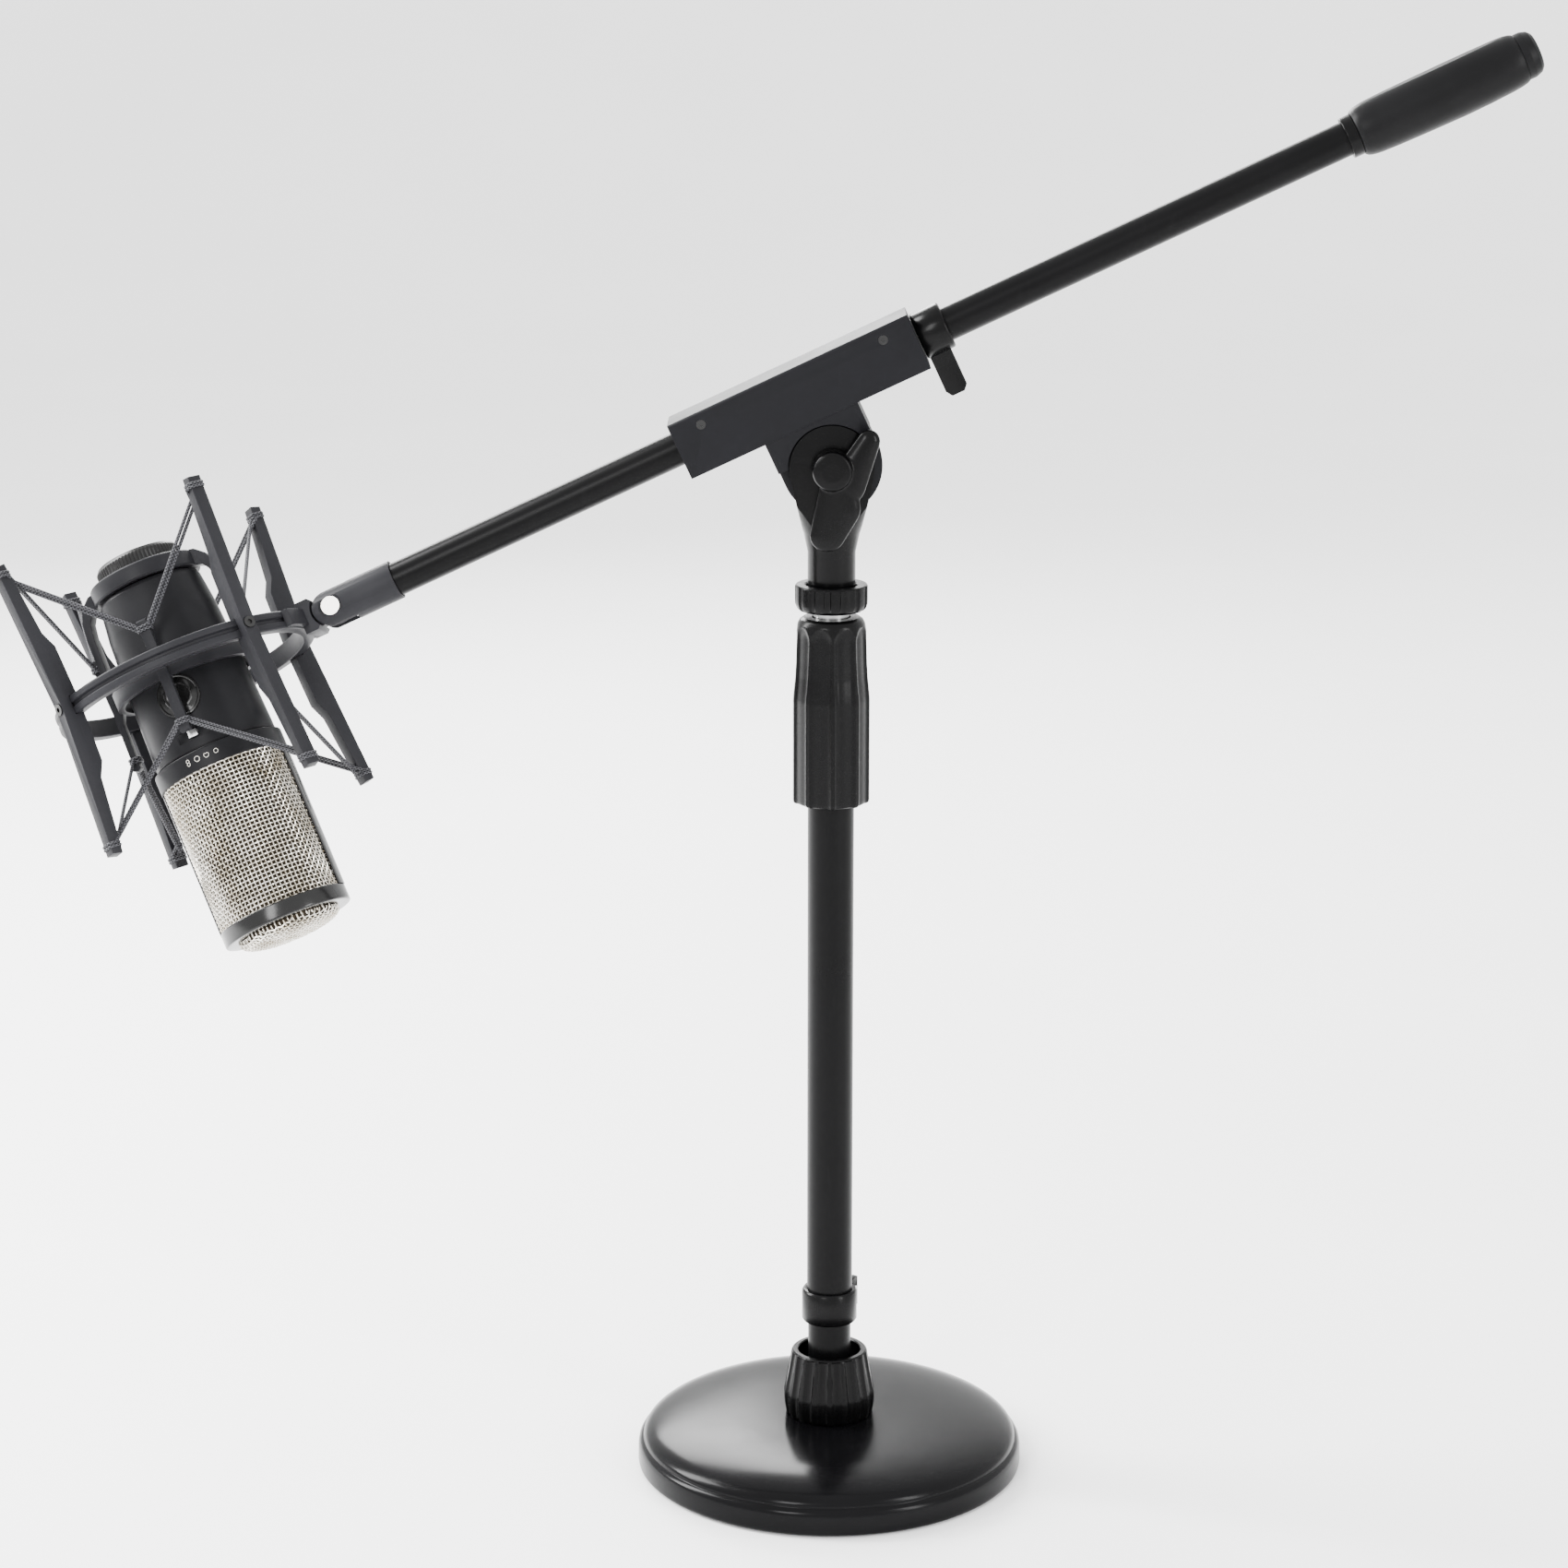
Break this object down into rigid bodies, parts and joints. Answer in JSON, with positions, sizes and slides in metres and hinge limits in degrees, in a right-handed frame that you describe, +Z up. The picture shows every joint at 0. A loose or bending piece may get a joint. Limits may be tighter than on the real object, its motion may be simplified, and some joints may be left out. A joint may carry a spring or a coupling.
{
  "type": "boom microphone stand",
  "caption": "Low round-base microphone stand with twist-clutch mast, tilting clamp block, sliding boom with rubber grip, elastic shock mount and side-address microphone.",
  "frame": {"origin": "centre of the pad's underside, on the mast's axis", "axes": "+Z up along the mast; +X towards the grip end of the boom, which lies in the XZ plane; the front is -Y"},
  "size_m": [0.71, 0.188, 0.6931],
  "materials": {
    "rubber_pad": "matt moulded rubber",
    "gloss_cast": "semi-gloss black powder coat on cast iron",
    "zinc_steel": "zinc plated",
    "satin_black_steel": "satin black lacquer",
    "black_plastic": "black moulded nylon, satin",
    "inner_plastic": "dark grey moulding",
    "pale_plastic": "natural acetal",
    "ribbed_plastic": "black moulded, fine texture",
    "bare_steel": "ground steel tube",
    "brass": "turned brass",
    "block_paint": "black powder coat on cast aluminium",
    "grip_rubber": "satin black rubber",
    "charcoal_plastic": "charcoal glass filled nylon",
    "cradle_plastic": "charcoal glass filled nylon",
    "nickel_steel": "nickel plated",
    "black_screw": "black oxide",
    "elastic_cord": "braided elastic",
    "nut_metal": "knurled, black anodised",
    "mic_paint": "matt charcoal paint",
    "rail_paint": "gloss black paint",
    "wire_mesh": "woven nickel wire",
    "capsule_gold": "gold sputtered capsule",
    "circuit_green": "solder mask",
    "xlr_metal": "satin nickel",
    "badge_paint": "plain satin black badge",
    "switch_metal": "satin nickel slider"
  },
  "bodies": {
    "base": {"base_pad": "rubber_pad", "base_disc": "gloss_cast", "base_bolt": "zinc_steel", "mast_foot": "satin_black_steel", "outer_tube": "satin_black_steel", "foot_collar": "black_plastic", "collar_screw": "zinc_steel", "clutch_core": "inner_plastic", "clutch_collet": "pale_plastic"},
    "base_nut": {"base_nut": "ribbed_plastic"},
    "clutch_sleeve": {"clutch_sleeve": "ribbed_plastic"},
    "mast": {"inner_tube": "bare_steel", "inner_bush": "pale_plastic", "mast_stud": "zinc_steel"},
    "lock_ring": {"lock_ring": "ribbed_plastic"},
    "head": {"head_fork": "black_plastic", "head_insert": "brass", "pivot_bolt": "zinc_steel", "friction_washers": "inner_plastic"},
    "tension_knob": {"wing_knob": "black_plastic", "knob_nut": "brass"},
    "boom_head": {"clamp_block": "block_paint", "block_liners": "inner_plastic", "block_screws": "black_screw", "boom_collet": "inner_plastic"},
    "clamp_lever": {"clamp_lever": "black_plastic"},
    "boom": {"boom_tube": "satin_black_steel", "boom_stud": "zinc_steel", "boom_grip": "grip_rubber", "grip_collar": "black_plastic", "grip_cap": "grip_rubber"},
    "mic_adapter": {"adapter_sleeve": "charcoal_plastic", "hinge_pin": "nickel_steel"},
    "shock_frame": {"yoke": "charcoal_plastic", "outer_ring": "charcoal_plastic", "front_left_bar": "charcoal_plastic", "front_right_bar": "charcoal_plastic", "rear_left_bar": "charcoal_plastic", "rear_right_bar": "charcoal_plastic", "bar_screws": "black_screw"},
    "cradle": {"cradle": "cradle_plastic", "upper_elastic": "elastic_cord", "lower_elastic": "elastic_cord"},
    "clamp_nut": {"clamp_nut": "nut_metal"},
    "microphone": {"mic_body": "mic_paint", "mic_collar": "mic_paint", "side_rails": "rail_paint", "grille_mesh": "wire_mesh", "grille_band": "rail_paint", "grille_dome": "wire_mesh", "capsule": "capsule_gold", "capsule_post": "inner_plastic", "circuit_board": "circuit_green", "xlr_insert": "xlr_metal", "xlr_pins": "nickel_steel", "badge": "badge_paint"},
    "pattern_switch": {"pattern_switch": "switch_metal"}
  },
  "joints": [
    {"name": "base_nut_turn", "type": "hinge", "parent": "base", "child": "base_nut", "pos_m": [0, 0, 0.04], "axis": [0, 0, 1], "continuous": true},
    {"name": "clutch_twist", "type": "hinge", "parent": "base", "child": "clutch_sleeve", "pos_m": [0, 0, 0.38], "axis": [0, 0, 1], "range_deg": [0, 90]},
    {"name": "mast_slide", "type": "slide", "parent": "base", "child": "mast", "axis": [0, 0, 1], "range_m": [0, 0.2]},
    {"name": "lock_ring_turn", "type": "hinge", "parent": "mast", "child": "lock_ring", "pos_m": [0, 0, 0.433], "axis": [0, 0, 1], "continuous": true},
    {"name": "head_pan", "type": "hinge", "parent": "mast", "child": "head", "pos_m": [0, 0, 0.45], "axis": [0, 0, 1], "continuous": true},
    {"name": "knob_turn", "type": "hinge", "parent": "head", "child": "tension_knob", "pos_m": [0, 0, 0.496], "axis": [0, -1, 0], "continuous": true},
    {"name": "boom_tilt", "type": "hinge", "parent": "head", "child": "boom_head", "pos_m": [0, 0, 0.496], "axis": [0, -1, 0], "range_deg": [-75, 24]},
    {"name": "boom_slide", "type": "slide", "parent": "boom_head", "child": "boom", "axis": [-0.9063, 0, -0.4226], "range_m": [-0.14, 0.19]},
    {"name": "lever_turn", "type": "hinge", "parent": "boom_head", "child": "clamp_lever", "pos_m": [0.04571, 0, 0.5577], "axis": [-0.9063, 0, -0.4226], "range_deg": [0, 90]},
    {"name": "adapter_roll", "type": "hinge", "parent": "boom", "child": "mic_adapter", "pos_m": [-0.21939, 0, 0.43408], "axis": [0.9063, 0, 0.4226], "continuous": true},
    {"name": "mount_hinge", "type": "hinge", "parent": "mic_adapter", "child": "shock_frame", "pos_m": [-0.23226, 0, 0.42808], "axis": [0.1445, 0.9397, -0.31], "range_deg": [-60, 60]},
    {"name": "cradle_slide", "type": "slide", "parent": "shock_frame", "child": "cradle", "axis": [0.3971, -0.342, -0.8517], "range_m": [-0.004, 0.004], "stiffness_N_per_m": 2000, "springref_m": -0.002, "deforming": ["upper_elastic", "lower_elastic"]},
    {"name": "clamp_nut_turn", "type": "hinge", "parent": "cradle", "child": "clamp_nut", "pos_m": [-0.32643, 0.01984, 0.4443], "axis": [0.3971, -0.342, -0.8517], "continuous": true},
    {"name": "mic_release", "type": "slide", "parent": "cradle", "child": "microphone", "axis": [0.3971, -0.342, -0.8517], "range_m": [0, 0.12]},
    {"name": "switch_slide", "type": "slide", "parent": "microphone", "child": "pattern_switch", "axis": [0.9063, 0, 0.4226], "range_m": [-0.0035, 0.0035]}
  ]
}
